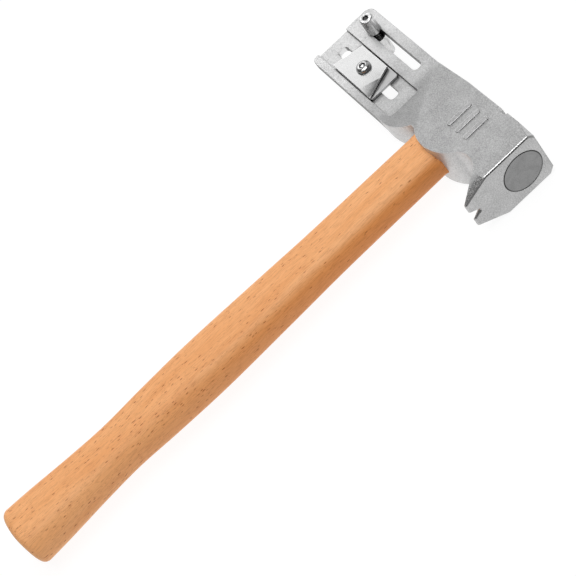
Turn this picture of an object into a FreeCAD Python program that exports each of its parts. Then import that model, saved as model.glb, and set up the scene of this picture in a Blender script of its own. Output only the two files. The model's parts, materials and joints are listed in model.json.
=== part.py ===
import FreeCAD, Part
import math
import os
import Sketcher

# Roofing hatchet, lying on its far broad side, all sizes in millimetres.
# Origin: centre of the striking insert's outer face, the point all gauge lengths are measured from.
# +X leaves the striking face, +Y runs from the handle's butt to the top of the head, +Z is up.

SIZES = {
    # head, side outline
    "reach": 166.0,            # striking face to blade end
    "top": 15.4,               # top edge above the axis of the striking face
    "nose_top_round": 5.0,
    "nose_low_round": 3.0,
    "low_edge": 31.2,          # straight lower edge of the blade end
    "low_edge_end": 91.0,      # where that edge turns into the rear lobe
    "lobe_x": 68.4,            # valley between the rear lobe and the cheek
    "lobe_y": 22.6,
    "lobe_round": 27.0,
    "cheek_back_x": 64.8,
    "cheek_back_y": 22.6,
    "cheek_front_x": 28.4,
    "cheek_front_y": 18.6,
    "cheek_round": 28.0,
    "throat_x": 10.3,          # where the claw leaves the throat
    "throat_y": 19.7,
    "throat_round": 13.6,
    "claw_tip_y": 36.4,
    "claw_tip_back": 1.3,      # the claw's front face leans back this much at the tip
    "claw_tip_thick": 1.1,
    # head, thickness
    "slab": 40.0,              # stock that the outline is cut from
    "nose_half": 3.0,          # half the thickness of the blade end
    "ramp_start": 98.0,
    "ramp_end": 60.0,
    "cheek_half": 14.2,        # half thickness where the ramp ends
    "face_half": 18.3,         # half thickness at the striking face
    # striking face
    "face_corner_y": 3.6,
    "face_corner_z": 3.7,
    "face_corner_run": 13.0,
    "claw_side_y": 18.7,
    "claw_half": 9.8,
    "claw_side_run": 12.4,
    "notch_mouth": 5.8,
    "notch_end_y": 30.2,
    "notch_round": 0.8,
    "notch_spread": 0.3,       # what the notch still widens on each side past the tips
    "notch_lip": 2.0,          # depth behind the face where the notch starts to flare
    "notch_flare_depth": 7.0,
    "notch_flare": 8.4,        # how much wider the notch is on each side at that depth
    "claw_tip_round": 1.8,
    "face_edge": 0.8,
    "overcut": 0.3,            # how far a cutting outline reaches past the surface it cuts
    "insert_dia": 25.4,
    "insert_depth": 12.0,
    "insert_gap": 0.05,
    "insert_edge": 0.25,
    "seat_edge": 0.35,
    # nail groove across the top
    "groove_x": 25.1,
    "groove_width": 4.4,
    "groove_depth": 1.9,
    # slots and channel
    "gauge_slot_end": 152.4,
    "gauge_slot_start": 103.7,
    "gauge_slot_y": 5.9,
    "gauge_slot_width": 6.2,
    "blade_slot_end": 158.4,
    "blade_slot_start": 101.4,
    "blade_slot_y": 14.9,
    "blade_slot_width": 6.8,
    "slot_round": 2.8,
    "channel_floor": 1.0,      # height of the channel's floor above the middle plane
    "channel_top": 4.2,
    "channel_low": 26.2,
    "channel_end": 88.5,
    "channel_round": 3.0,
    # plain raised ribs on the near cheek
    "rib_length": 17.0,
    "rib_width": 3.0,
    "rib_pitch": 8.0,
    "rib_x": 47.0,
    "rib_y": 7.0,
    "rib_rise": 0.6,
    # eye and handle
    "handle_x": 53.5,
    "eye_width": 28.6,
    "eye_thick": 19.4,
    "eye_corner": 4.5,
    "eye_bottom": 28.0,
    "tenon_width": 28.5,
    "tenon_thick": 19.3,
    "tenon_proud": 1.2,
    "butt": 335.0,
    "dome_radius": 62.0,
    "butt_round": 3.0,
    "butt_trim": 5.0,          # wood turned away beyond the butt's dome
    # wedges
    "kerf_depth": 19.0,
    "kerf_top": 2.8,
    "kerf_end": 0.8,
    "kerf_length": 24.0,
    "steel_wedge_depth": 11.0,
    "steel_wedge_thick": 2.0,
    "steel_wedge_width": 11.0,
    "steel_wedge_x": 8.0,
    # gauge
    "gauge_x": 149.3,
    "post_seat": 0.15,
    "near_post_end": 15.3,
    "far_post_end": 18.5,
    "post_base_dia": 8.5,
    "post_end_dia": 8.1,
    "post_edge": 0.5,
    "post_hex": 3.6,
    "post_hex_depth": 4.0,
    "stud_dia": 5.4,
    "stud_half": 10.5,
    "stud_gap": 0.06,
    "thread_pitch": 0.9,
    "thread_depth": 0.4,
    # blade carriage
    "clamp_x": 131.0,
    "slide_gap": 0.15,
    "carrier_start": 110.8,
    "carrier_end": 148.6,
    "carrier_top": 5.0,
    "carrier_low": 25.8,
    "carrier_thick": 1.8,
    "carrier_round": 1.2,
    "blade_thick": 0.65,
    "blade_bevel": 3.0,
    "blade_inset": 0.4,        # the blade stands back from the plate's outline by this much
    "plate_thick": 1.4,
    "plate_top": 5.6,
    "plate_low": 25.4,
    "plate_top_back": 144.8,
    "plate_top_front": 119.6,
    "plate_low_back": 149.8,
    "plate_low_front": 111.7,
    "plate_facet_x": 121.5,
    "plate_facet_y": 13.4,
    "plate_facet_lean": 4.7,   # how far the facet's upper end stands forward
    "plate_facet_drop": 1.3,
    "screw_dia": 5.0,
    "screw_gap": 0.06,
    "screw_hole": 5.5,
    "screw_head_dia": 9.2,
    "screw_head_height": 2.7,
    "screw_hex": 3.6,
    "screw_hex_depth": 1.8,
    "screw_length": 14.2,
    "backing_length": 15.0,
    "backing_width": 12.0,
    "backing_thick": 1.5,
    "nut_across": 8.0,
    "nut_thick": 4.0,
    "small_edge": 0.4,
}

# Handle sections: distance below the axis of the striking face, width, thickness, corner cut
HANDLE_SECTIONS = (
    (28.0, 29.0, 19.8, 4.6),
    (60.0, 29.3, 20.2, 4.6),
    (105.0, 29.8, 21.2, 4.9),
    (145.0, 32.0, 22.8, 5.4),
    (195.0, 34.6, 24.6, 6.2),
    (230.0, 33.2, 24.0, 6.0),
    (259.0, 31.2, 22.8, 5.7),
    (285.0, 33.4, 24.2, 6.2),
    (312.0, 37.2, 26.6, 7.0),
    (338.0, 39.6, 28.4, 7.6),
)

doc = FreeCAD.newDocument("RoofingHatchet")
sheet = doc.addObject("Spreadsheet::Sheet", "Sizes")
for row, (name, size) in enumerate(SIZES.items(), start=1):
    sheet.set("A%d" % row, name)
    sheet.set("B%d" % row, str(size))
    sheet.setAlias("B%d" % row, name)
for number, section in enumerate(HANDLE_SECTIONS):
    for column, key, size in zip("DEFG", ("down", "width", "thick", "corner"), section):
        alias = "section_%s_%s" % (key, chr(ord("a") + number))
        cell = "%s%d" % (column, number + 1)
        sheet.set(cell, str(size))
        sheet.setAlias(cell, alias)
        SIZES[alias] = size
doc.recompute()


# ---------------------------------------------------------------- helpers

def terms(text):
    """Split a sum such as 'a + b/2 - pitch*3' into (sign, name or number, factor)."""
    sign = 1
    found = []
    for word in text.split():
        if word in ("+", "-"):
            sign = 1 if word == "+" else -1
            continue
        name, _, times = word.partition("*")
        name, _, over = name.partition("/")
        found.append((sign, name, float(times or 1) / float(over or 1)))
        sign = 1
    return found


def value(text):
    """The number that a sum of sheet names and plain numbers stands for."""
    return sum(sign * factor * (SIZES[name] if name in SIZES else float(name))
               for sign, name, factor in terms(text))


def bound(text):
    """The same sum, as an expression on the sheet's cells."""
    words = ["%+g * %s" % (sign * factor, "Sizes." + name if name in SIZES else name)
             for sign, name, factor in terms(text)]
    return " ".join(word.replace("+", "+ ", 1).replace("-", "- ", 1) for word in words).lstrip("+ ")


def flip(text):
    """The same sum with every sign changed."""
    return " ".join("%s %s*%r" % ("-" if sign > 0 else "+", name, factor)
                    for sign, name, factor in terms(text))


def bind(thing, **sizes):
    """Bind properties of a feature to sums of sheet cells."""
    for name, text in sizes.items():
        thing.setExpression(name.replace("__", "."), bound(text))


def new_body(label, x="0", y="0", z="0", turned=False):
    """A body with its own origin at a place in the hatchet's frame, upside down when turned."""
    body = doc.addObject("PartDesign::Body", label)
    body.Label = label
    turn = FreeCAD.Rotation(FreeCAD.Vector(1, 0, 0), 180 if turned else 0)
    body.Placement = FreeCAD.Placement(FreeCAD.Vector(value(x), value(y), value(z)), turn)
    bind(body, Placement__Base__x=x, Placement__Base__y=y, Placement__Base__z=z)
    return body


def new_sketch(body, name, plane="XY", lift="0"):
    """A sketch on one of the body's own origin planes, lifted along the plane's normal."""
    sketch = body.newObject("Sketcher::SketchObject", name)
    support = next(item for item in body.Origin.OriginFeatures if item.Role == plane + "_Plane")
    sketch.AttachmentSupport = [(support, "")]
    sketch.MapMode = "FlatFace"
    sketch.AttachmentOffset = FreeCAD.Placement(FreeCAD.Vector(0, 0, value(lift)), FreeCAD.Rotation())
    bind(sketch, AttachmentOffset__Base__z=lift)
    return sketch


def hold(sketch, *constraint):
    """Add a constraint whose last item is a sheet sum."""
    *where, text = constraint
    index = sketch.addConstraint(Sketcher.Constraint(*where, value(text)))
    sketch.setExpression("Constraints[%d]" % index, bound(text))


def pin(sketch, geometry, end, x, y):
    """Hold one end (or the centre) of a curve at a place given by sheet sums."""
    hold(sketch, "DistanceX", -1, 1, geometry, end, x)
    hold(sketch, "DistanceY", -1, 1, geometry, end, y)


def arc_through(start, finish, radius, left):
    """The short arc of a given radius between two points, bulging to the left or the right."""
    chord = finish - start
    across = FreeCAD.Vector(-chord.y, chord.x, 0).normalize() * (1 if left else -1)
    height = radius - math.sqrt(radius ** 2 - (chord.Length / 2) ** 2)
    return Part.Arc(start, (start + finish) / 2 + across * height, finish)


def outline(sketch, *corners):
    """A closed outline. Each corner is (x, y), or (x, y, radius, side): the last two make the
    stretch that leaves it an arc which bulges to that side."""
    count = len(corners)
    first = sketch.GeometryCount
    places = [FreeCAD.Vector(value(corner[0]), value(corner[1]), 0) for corner in corners]
    for index, corner in enumerate(corners):
        start = places[index]
        finish = places[(index + 1) % count]
        if len(corner) == 2:
            curve = Part.LineSegment(start, finish)
        else:
            curve = arc_through(start, finish, value(corner[2]), corner[3] == "left")
        sketch.addGeometry(curve, False)
    ends = []
    for index, place in enumerate(places):
        forward = sketch.getPoint(first + index, 1).sub(place).Length < 1e-6
        ends.append((1, 2) if forward else (2, 1))
    for index, corner in enumerate(corners):
        after = (index + 1) % count
        joint = Sketcher.Constraint(
            "Coincident", first + index, ends[index][1], first + after, ends[after][0])
        sketch.addConstraint(joint)
        pin(sketch, first + index, ends[index][0], corner[0], corner[1])
        if len(corner) > 2:
            hold(sketch, "Radius", first + index, corner[2])


def slot_outline(sketch, x0, x1, y0, y1, corner):
    """A rectangle with rounded corners."""
    outline(
        sketch,
        (x0 + " + " + corner, y0),
        (x1 + " - " + corner, y0, corner, "right"),
        (x1, y0 + " + " + corner),
        (x1, y1 + " - " + corner, corner, "right"),
        (x1 + " - " + corner, y1),
        (x0 + " + " + corner, y1, corner, "right"),
        (x0, y1 + " - " + corner),
        (x0, y0 + " + " + corner, corner, "right"))


def circle(sketch, x, y, diameter):
    """A circle with its centre and diameter bound."""
    centre = FreeCAD.Vector(value(x), value(y), 0)
    geometry = sketch.addGeometry(Part.Circle(centre, FreeCAD.Vector(0, 0, 1), value(diameter) / 2), False)
    pin(sketch, geometry, 3, x, y)
    hold(sketch, "Diameter", geometry, diameter)


def hexagon(sketch, across):
    """A hexagon about the sketch's origin, measured across its flats."""
    flat = across + "/2"
    slope = "%s*%.9f" % (across, math.tan(math.radians(30)) / 2)
    point = "%s*%.9f" % (across, math.tan(math.radians(30)))
    outline(sketch, (flat, slope), ("0", point), ("- " + flat, slope),
            ("- " + flat, "- " + slope), ("0", "- " + point), (flat, "- " + slope))


def octagon(sketch, width, thick, corner):
    """A rectangle about the sketch's origin with its four corners cut."""
    side = width + "/2"
    face = thick + "/2"
    inner_side = side + " - " + corner
    inner_face = face + " - " + corner
    back_side = "- " + side
    back_inner_side = back_side + " + " + corner
    low_face = "- " + face
    low_inner_face = low_face + " + " + corner
    outline(sketch, (side, low_inner_face), (side, inner_face), (inner_side, face), (back_inner_side, face),
            (back_side, inner_face), (back_side, low_inner_face), (back_inner_side, low_face),
            (inner_side, low_face))


def feature(body, kind, name, sketch, sizes, **options):
    """A feature that changes a body's volume in the way its kind says."""
    doc.recompute()
    before = body.Shape.Volume if body.Tip else 0.0
    made = body.newObject("PartDesign::" + kind, name)
    made.Profile = sketch
    for option, setting in options.items():
        setattr(made, option, setting)
    bind(made, **sizes)
    sketch.Visibility = False
    doc.recompute()
    grown = body.Shape.Volume - before
    cuts = kind in ("Pocket", "Groove", "SubtractiveLoft")
    if (-grown if cuts else grown) < 0.01:
        raise ValueError(name + " changes nothing")
    return made


def pad(body, name, sketch, length, **options):
    return feature(body, "Pad", name, sketch, {"Length": length}, **options)


def pocket(body, name, sketch, length, **options):
    return feature(body, "Pocket", name, sketch, {"Length": length}, **options)


def spin(body, kind, name, sketch):
    """A full turn about the sketch's vertical axis."""
    return feature(body, kind, name, sketch, {}, ReferenceAxis=(sketch, ["V_Axis"]), Angle=360)


def taper_cut(body, name, plane, near, far):
    """Cut the wedge between two triangles, each (lift, corner, corner, corner)."""
    sketches = []
    for end, (lift, *corners) in zip(("Near", "Far"), (near, far)):
        sketches.append(new_sketch(body, name + end, plane, lift))
        outline(sketches[-1], *corners)
    return feature(body, "SubtractiveLoft", name, sketches[0], {}, Sections=sketches[1:])


def dress(body, kind, name, size, test):
    """Round or bevel the edges of the body's last feature that pass a test."""
    base = body.Tip
    edges = ["Edge%d" % number for number, edge in enumerate(base.Shape.Edges, start=1) if test(edge)]
    made = body.newObject("PartDesign::" + kind, name)
    made.Base = (base, edges)
    bind(made, **{"Radius" if kind == "Fillet" else "Size": size})
    doc.recompute()
    return made


# ---------------------------------------------------------------- head

def head_outline(body):
    """The outline seen from the broad side, as a slab of stock."""
    sketch = new_sketch(body, "HeadOutline")
    outline(
        sketch,
        ("- reach + nose_low_round", "- low_edge"),
        ("- low_edge_end", "- low_edge", "lobe_round", "right"),
        ("- lobe_x", "- lobe_y"),
        ("- cheek_back_x", "- cheek_back_y", "cheek_round", "right"),
        ("- cheek_front_x", "- cheek_front_y", "throat_round", "left"),
        ("- throat_x", "- throat_y"),
        ("- claw_tip_back - claw_tip_thick", "- claw_tip_y"),
        ("- claw_tip_back", "- claw_tip_y"),
        ("0", "- throat_y"),
        ("0", "top"),
        ("- reach + nose_top_round", "top", "nose_top_round", "right"),
        ("- reach", "top - nose_top_round"),
        ("- reach", "- low_edge + nose_low_round", "nose_low_round", "right"))
    pad(body, "HeadSlab", sketch, "slab", Midplane=True)


def head_thickness(body):
    """Thin the slab from both broad sides to blade end, ramp and cheeks."""
    sketch = new_sketch(body, "HeadThickness", "XZ")
    for side in (str, flip):
        outline(
            sketch,
            ("0", side("face_half")),
            ("- ramp_end", side("cheek_half")),
            ("- ramp_start", side("nose_half")),
            ("- reach - overcut", side("nose_half")),
            ("- reach - overcut", side("slab")),
            ("overcut", side("slab")),
            ("overcut", side("face_half")))
    pocket(body, "ThinnedSides", sketch, "reach", Midplane=True)


def claw(body):
    """Taper the claw's sides, cut its nail notch and round its two tips."""
    sides = new_sketch(body, "ClawSides", "YZ")
    for side in (str, flip):
        outline(
            sides,
            ("- claw_side_y", side("face_half")),
            ("- claw_tip_y", side("claw_half")),
            ("- claw_tip_y - overcut", side("claw_half")),
            ("- claw_tip_y - overcut", side("slab")),
            ("- claw_side_y", side("slab")))
    pocket(body, "ClawTaper", sides, "claw_side_run")

    notch = new_sketch(body, "NailNotch", "YZ")
    mouth = "notch_mouth/2 + notch_spread"
    outline(
        notch,
        ("- claw_tip_y - overcut", flip(mouth)),
        ("- notch_end_y - notch_round", "- notch_round", "notch_round*1.1", "right"),
        ("- notch_end_y - notch_round", "notch_round"),
        ("- claw_tip_y - overcut", mouth))
    pocket(body, "NailPuller", notch, "claw_side_run")
    flared = mouth + " + notch_flare"
    taper_cut(
        body, "NotchFlare", "YZ",
        ("- notch_lip",
         ("- claw_tip_y - overcut", flip(mouth)),
         ("- notch_end_y", "0"),
         ("- claw_tip_y - overcut", mouth)),
        ("- notch_lip - notch_flare_depth",
         ("- claw_tip_y - overcut", flip(flared)),
         ("- notch_end_y + notch_flare", "0"),
         ("- claw_tip_y - overcut", flared)))

    def tip_corner(edge):
        box = edge.BoundBox
        return box.YMax < - SIZES["claw_tip_y"] + 0.01 and box.ZLength < 0.01
    dress(body, "Fillet", "ClawTips", "claw_tip_round", tip_corner)


def striking_block(body):
    """Trim the top corners of the striking face, bevel its edges and bore the insert's seat."""
    slope = (SIZES["face_half"] - SIZES["cheek_half"]) / SIZES["ramp_end"]
    back_half = "face_half - face_corner_run*%.6f" % slope
    for name, side in (("Upper", str), ("Lower", flip)):
        taper_cut(
            body, "FaceCorner" + name, "YZ",
            ("0",
             ("top - face_corner_y", side("face_half + overcut")),
             ("top + overcut", side("face_half - face_corner_z")),
             ("top + overcut*2", side("face_half + overcut*2"))),
            ("- face_corner_run",
             ("top - overcut/3", side(back_half + " + overcut")),
             ("top + overcut", side(back_half + " - overcut/3")),
             ("top + overcut*2", side(back_half + " + overcut*2"))))

    def face_side(edge):
        box = edge.BoundBox
        fold = box.YLength < 0.01 and box.YMax < 0
        return box.XMin > -0.01 and not fold
    dress(body, "Chamfer", "FaceEdges", "face_edge", face_side)

    bore = new_sketch(body, "InsertBore", "YZ")
    circle(bore, "0", "0", "insert_dia")
    pocket(body, "InsertSeat", bore, "insert_depth")

    def seat_rim(edge):
        box = edge.BoundBox
        return box.XMin > -0.01 and abs(box.YLength - SIZES["insert_dia"]) < 0.01
    dress(body, "Chamfer", "SeatEdge", "seat_edge", seat_rim)


def head_openings(body):
    """Eye, gauge slot, blade slot, blade channel and nail groove."""
    eye = new_sketch(body, "EyeSection", "XZ")
    side = "eye_width/2"
    face = "eye_thick/2"
    outline(
        eye,
        ("- handle_x + " + side, "- " + face + " + eye_corner"),
        ("- handle_x + " + side, face + " - eye_corner"),
        ("- handle_x + " + side + " - eye_corner", face),
        ("- handle_x - " + side + " + eye_corner", face),
        ("- handle_x - " + side, face + " - eye_corner"),
        ("- handle_x - " + side, "- " + face + " + eye_corner"),
        ("- handle_x - " + side + " + eye_corner", "- " + face),
        ("- handle_x + " + side + " - eye_corner", "- " + face))
    pocket(body, "Eye", eye, "reach", Midplane=True)

    slots = new_sketch(body, "Slots")
    slot_outline(
        slots, "- gauge_slot_end", "- gauge_slot_start",
        "gauge_slot_y - gauge_slot_width/2", "gauge_slot_y + gauge_slot_width/2", "slot_round")
    slot_outline(
        slots, "- blade_slot_end", "- blade_slot_start",
        "- blade_slot_y - blade_slot_width/2", "- blade_slot_y + blade_slot_width/2", "slot_round")
    pocket(body, "ThroughSlots", slots, "slab", Midplane=True)

    channel = new_sketch(body, "Channel", "XY", "channel_floor")
    outline(
        channel,
        ("- reach - overcut", "- channel_low"),
        ("- channel_end - channel_round", "- channel_low", "channel_round", "right"),
        ("- channel_end", "- channel_low + channel_round"),
        ("- channel_end", "- channel_top - channel_round", "channel_round", "right"),
        ("- channel_end - channel_round", "- channel_top"),
        ("- reach - overcut", "- channel_top"))
    pocket(body, "BladeChannel", channel, "slab", Reversed=True)

    groove = new_sketch(body, "NailGroove")
    outline(
        groove,
        ("- groove_x - groove_width/2", "top + overcut"),
        ("- groove_x - groove_width/2", "top - groove_depth + groove_width/4",
         "groove_width/1.6", "right"),
        ("- groove_x + groove_width/2", "top - groove_depth + groove_width/4"),
        ("- groove_x + groove_width/2", "top + overcut"))
    pocket(body, "NailStarter", groove, "slab*2", Midplane=True)


def cheek_ribs(body):
    """Three plain raised bars across the near cheek, parallel to its slope."""
    sketch = new_sketch(body, "CheekRibs")
    slope = math.degrees(math.atan2(SIZES["face_half"] - SIZES["cheek_half"], SIZES["ramp_end"]))
    sketch.AttachmentOffset = FreeCAD.Placement(
        FreeCAD.Vector(0, 0, SIZES["face_half"]), FreeCAD.Rotation(FreeCAD.Vector(0, 1, 0), -slope))
    bind(sketch, AttachmentOffset__Base__z="face_half")
    for number in range(3):
        middle = "- rib_x + rib_pitch*%d" % number
        slot_outline(
            sketch, middle + " - rib_width/2", middle + " + rib_width/2",
            "rib_y - rib_length", "rib_y", "rib_width/2.2")
    pad(body, "Ribs", sketch, "rib_rise")


def head_casting():
    body = new_body("head_casting")
    head_outline(body)
    head_thickness(body)
    claw(body)
    striking_block(body)
    head_openings(body)
    cheek_ribs(body)
    return body


def striking_insert():
    """Steel disc pressed into the block, its outer face flush with the casting."""
    body = new_body("striking_insert")
    sketch = new_sketch(body, "InsertDisc", "YZ")
    circle(sketch, "0", "0", "insert_dia - insert_gap*2")
    pad(body, "Disc", sketch, "insert_depth - insert_gap", Reversed=True)
    dress(body, "Chamfer", "InsertEdge", "insert_edge", lambda edge: abs(edge.CenterOfMass.x) < 0.01)
    return body


# ---------------------------------------------------------------- handle and wedges

def kerf_outline(sketch):
    """The tapered split at the top of the handle, which the wood wedge fills."""
    outline(
        sketch,
        ("top + tenon_proud", "kerf_top/2"),
        ("top + tenon_proud", "- kerf_top/2"),
        ("top + tenon_proud - kerf_depth", "- kerf_end/2"),
        ("top + tenon_proud - kerf_depth", "kerf_end/2"))


def steel_wedge_outline(sketch, middle):
    """A steel wedge seen along its width, thick end up."""
    outline(
        sketch,
        (middle + " - steel_wedge_thick/2", "top + tenon_proud"),
        (middle + " - steel_wedge_thick/6", "top + tenon_proud - steel_wedge_depth"),
        (middle + " + steel_wedge_thick/6", "top + tenon_proud - steel_wedge_depth"),
        (middle + " + steel_wedge_thick/2", "top + tenon_proud"))


def cut_for_steel_wedges(body):
    sketch = new_sketch(body, "SteelWedgeSplits")
    steel_wedge_outline(sketch, "steel_wedge_x")
    steel_wedge_outline(sketch, "- steel_wedge_x")
    pocket(body, "SteelWedgeSeats", sketch, "steel_wedge_width", Midplane=True)


def handle():
    """Octagonal wooden handle: tenon in the eye, lofted grip and domed butt."""
    body = new_body("handle", x="- handle_x")
    tenon = new_sketch(body, "TenonSection", "XZ", "eye_bottom")
    octagon(tenon, "tenon_width", "tenon_thick", "eye_corner")
    pad(body, "Tenon", tenon, "eye_bottom + top + tenon_proud", Reversed=True)

    sections = []
    for number in range(len(HANDLE_SECTIONS)):
        letter = chr(ord("a") + number)
        sketch = new_sketch(body, "GripSection" + letter.upper(), "XZ", "section_down_" + letter)
        octagon(sketch, "section_width_" + letter, "section_thick_" + letter, "section_corner_" + letter)
        sections.append(sketch)
    feature(body, "AdditiveLoft", "Grip", sections[0], {}, Sections=sections[1:])

    dome = new_sketch(body, "ButtDome")
    rim = SIZES["section_width_a"]
    sag = SIZES["dome_radius"] - math.sqrt(SIZES["dome_radius"] ** 2 - rim ** 2)
    outline(
        dome,
        ("0", "- butt", "dome_radius", "right"),
        ("section_width_a", "- butt + %.6f" % sag),
        ("section_width_a", "- butt - butt_trim"),
        ("0", "- butt - butt_trim"))
    spin(body, "Groove", "DomedButt", dome)

    def butt_rim(edge):
        return edge.BoundBox.YMax < - SIZES["butt"] + SIZES["butt_trim"]
    dress(body, "Fillet", "ButtRim", "butt_round", butt_rim)

    kerf = new_sketch(body, "Kerf", "YZ")
    kerf_outline(kerf)
    pocket(body, "WedgeKerf", kerf, "kerf_length", Midplane=True)
    cut_for_steel_wedges(body)
    return body


def eye_wood_wedge():
    body = new_body("eye_wood_wedge", x="- handle_x")
    sketch = new_sketch(body, "WoodWedgeSection", "YZ")
    kerf_outline(sketch)
    pad(body, "WoodWedge", sketch, "kerf_length", Midplane=True)
    cut_for_steel_wedges(body)
    return body


def eye_steel_wedge(label, middle):
    body = new_body(label, x="- handle_x " + middle)
    sketch = new_sketch(body, "SteelWedgeSection")
    steel_wedge_outline(sketch, "0")
    pad(body, "SteelWedge", sketch, "steel_wedge_width", Midplane=True)
    return body


# ---------------------------------------------------------------- gauge

def gauge_post(label, end, turned):
    """Slightly tapered post with a bore for the stud at its base and a hex socket in its end."""
    body = new_body(label, x="- gauge_x", y="gauge_slot_y", turned=turned)
    sketch = new_sketch(body, "PostProfile", "XZ")
    outline(
        sketch,
        ("stud_dia/2 + stud_gap", "nose_half + post_seat"),
        ("post_base_dia/2", "nose_half + post_seat"),
        ("post_end_dia/2", end + " - post_edge"),
        ("post_end_dia/2 - post_edge", end),
        ("0", end),
        ("0", "stud_half + post_seat"),
        ("stud_dia/2 + stud_gap", "stud_half + post_seat"))
    spin(body, "Revolution", "Post", sketch)
    socket = new_sketch(body, "PostSocket", "XY", end)
    hexagon(socket, "post_hex")
    pocket(body, "Socket", socket, "post_hex_depth")
    return body


def gauge_stud():
    """Stud through the gauge slot, its middle cut with thread ridges where the slot shows it."""
    body = new_body("gauge_stud", x="- gauge_x", y="gauge_slot_y")
    crest = "stud_dia/2"
    root = "stud_dia/2 - thread_depth"
    ridges = []
    for ridge in range(-3, 4):
        ridges.append((root, "thread_pitch*%g" % (ridge - 0.4)))
        ridges.append((crest, "thread_pitch*%g" % ridge))
    sketch = new_sketch(body, "StudProfile", "XZ")
    outline(
        sketch,
        ("0", "- stud_half"),
        (crest, "- stud_half"),
        (crest, "thread_pitch*-3.8"),
        *ridges,
        (root, "thread_pitch*3.6"),
        (crest, "thread_pitch*3.8"),
        (crest, "stud_half"),
        ("0", "stud_half"))
    spin(body, "Revolution", "Stud", sketch)
    return body


# ---------------------------------------------------------------- blade carriage

CARRIER_BASE = "channel_floor + slide_gap"
BLADE_BASE = CARRIER_BASE + " + carrier_thick"
PLATE_BASE = BLADE_BASE + " + blade_thick"
PLATE_TOP = PLATE_BASE + " + plate_thick"


def screw_hole(sketch):
    circle(sketch, "- clamp_x", "- blade_slot_y", "screw_hole")


def blade_carrier():
    """Flat slider in the blade channel."""
    body = new_body("blade_carrier")
    sketch = new_sketch(body, "CarrierOutline", "XY", CARRIER_BASE)
    slot_outline(
        sketch, "- carrier_end", "- carrier_start", "- carrier_low", "- carrier_top", "carrier_round")
    screw_hole(sketch)
    pad(body, "Carrier", sketch, "carrier_thick")
    return body


def utility_blade():
    """Thin trapezoid blade, its long lower edge ground."""
    body = new_body("utility_blade")
    sketch = new_sketch(body, "BladeOutline", "XY", BLADE_BASE)
    outline(
        sketch,
        ("- plate_low_back + blade_inset", "- plate_low"),
        ("- plate_low_front - blade_inset", "- plate_low"),
        ("- plate_top_front - blade_inset", "- plate_top - blade_inset*2"),
        ("- plate_top_back + blade_inset", "- plate_top - blade_inset*2"))
    screw_hole(sketch)
    pad(body, "Blade", sketch, "blade_thick")
    bevel = (
        ("- plate_low + blade_bevel", PLATE_BASE),
        ("- plate_low - overcut", BLADE_BASE + " + blade_thick/4"),
        ("- plate_low - overcut", PLATE_BASE + " + overcut"))
    taper_cut(
        body, "GroundEdge", "YZ",
        ("- plate_low_front + overcut", *bevel),
        ("- plate_low_back - overcut", *bevel))
    return body


def clamp_plate():
    """Trapezoid plate that holds the blade down, with one corner ground to a facet."""
    body = new_body("clamp_plate")
    sketch = new_sketch(body, "PlateOutline", "XY", PLATE_BASE)
    outline(
        sketch,
        ("- plate_low_back", "- plate_low"),
        ("- plate_low_front", "- plate_low"),
        ("- plate_top_front", "- plate_top"),
        ("- plate_top_back", "- plate_top"))
    screw_hole(sketch)
    pad(body, "Plate", sketch, "plate_thick")
    taper_cut(
        body, "CornerFacet", "XZ",
        ("plate_low + overcut",
         ("- plate_facet_x", PLATE_TOP),
         ("- plate_low_front + overcut", PLATE_TOP + " - plate_facet_drop"),
         ("- plate_low_front + overcut", PLATE_TOP + " + overcut")),
        ("plate_facet_y",
         ("- plate_facet_x + plate_facet_lean", PLATE_TOP),
         ("- plate_facet_x + plate_facet_lean + overcut*2", PLATE_TOP + " - overcut/10"),
         ("- plate_facet_x + plate_facet_lean + overcut*2", PLATE_TOP + " + overcut")))
    return body


def clamp_screw():
    """Domed screw with a hex socket, through the whole stack and the nut."""
    body = new_body("clamp_screw", x="- clamp_x", y="- blade_slot_y", z=PLATE_TOP + " + screw_gap")
    sketch = new_sketch(body, "ScrewProfile", "XZ")
    outline(
        sketch,
        ("0", "- screw_length"),
        ("screw_dia/2 - small_edge", "- screw_length"),
        ("screw_dia/2", "- screw_length + small_edge"),
        ("screw_dia/2", "0"),
        ("screw_head_dia/2", "0"),
        ("screw_head_dia/2", "small_edge", "screw_head_dia/1.9", "right"),
        ("screw_head_dia/4", "screw_head_height"),
        ("0", "screw_head_height"))
    spin(body, "Revolution", "Screw", sketch)
    socket = new_sketch(body, "ScrewSocket", "XY", "screw_head_height")
    hexagon(socket, "screw_hex")
    pocket(body, "Socket", socket, "screw_hex_depth")
    return body


def clamp_backing_plate():
    """Plate that slides on the far side, across the blade slot."""
    body = new_body("clamp_backing_plate", x="- clamp_x", y="- blade_slot_y")
    sketch = new_sketch(body, "BackingOutline", "XY", "- nose_half - slide_gap")
    slot_outline(
        sketch, "- backing_length/2", "backing_length/2", "- backing_width/2", "backing_width/2",
        "carrier_round")
    circle(sketch, "0", "0", "screw_hole")
    pad(body, "Backing", sketch, "backing_thick", Reversed=True)
    return body


def clamp_nut():
    """Hex nut under the backing plate."""
    body = new_body("clamp_nut", x="- clamp_x", y="- blade_slot_y")
    lift = "- nose_half - slide_gap - backing_thick"
    sketch = new_sketch(body, "NutOutline", "XY", lift)
    hexagon(sketch, "nut_across")
    circle(sketch, "0", "0", "screw_dia + screw_gap*2")
    pad(body, "Nut", sketch, "nut_thick", Reversed=True)
    return body


# ---------------------------------------------------------------- build and write

def check_document():
    """Stop when any object of the document failed or any sub-part is unsound."""
    for item in doc.Objects:
        if "Invalid" in item.State or "Error" in item.State:
            raise ValueError("%s failed: %s" % (item.Label, item.State))


def write_parts(bodies):
    doc.recompute()
    check_document()
    for body in bodies:
        if body.Shape.isNull() or not body.Shape.isValid():
            raise ValueError(body.Label + " has no valid shape")
    os.makedirs("parts", exist_ok=True)
    for body in bodies:
        body.Shape.exportStep("parts/%s.step" % body.Label)


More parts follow.
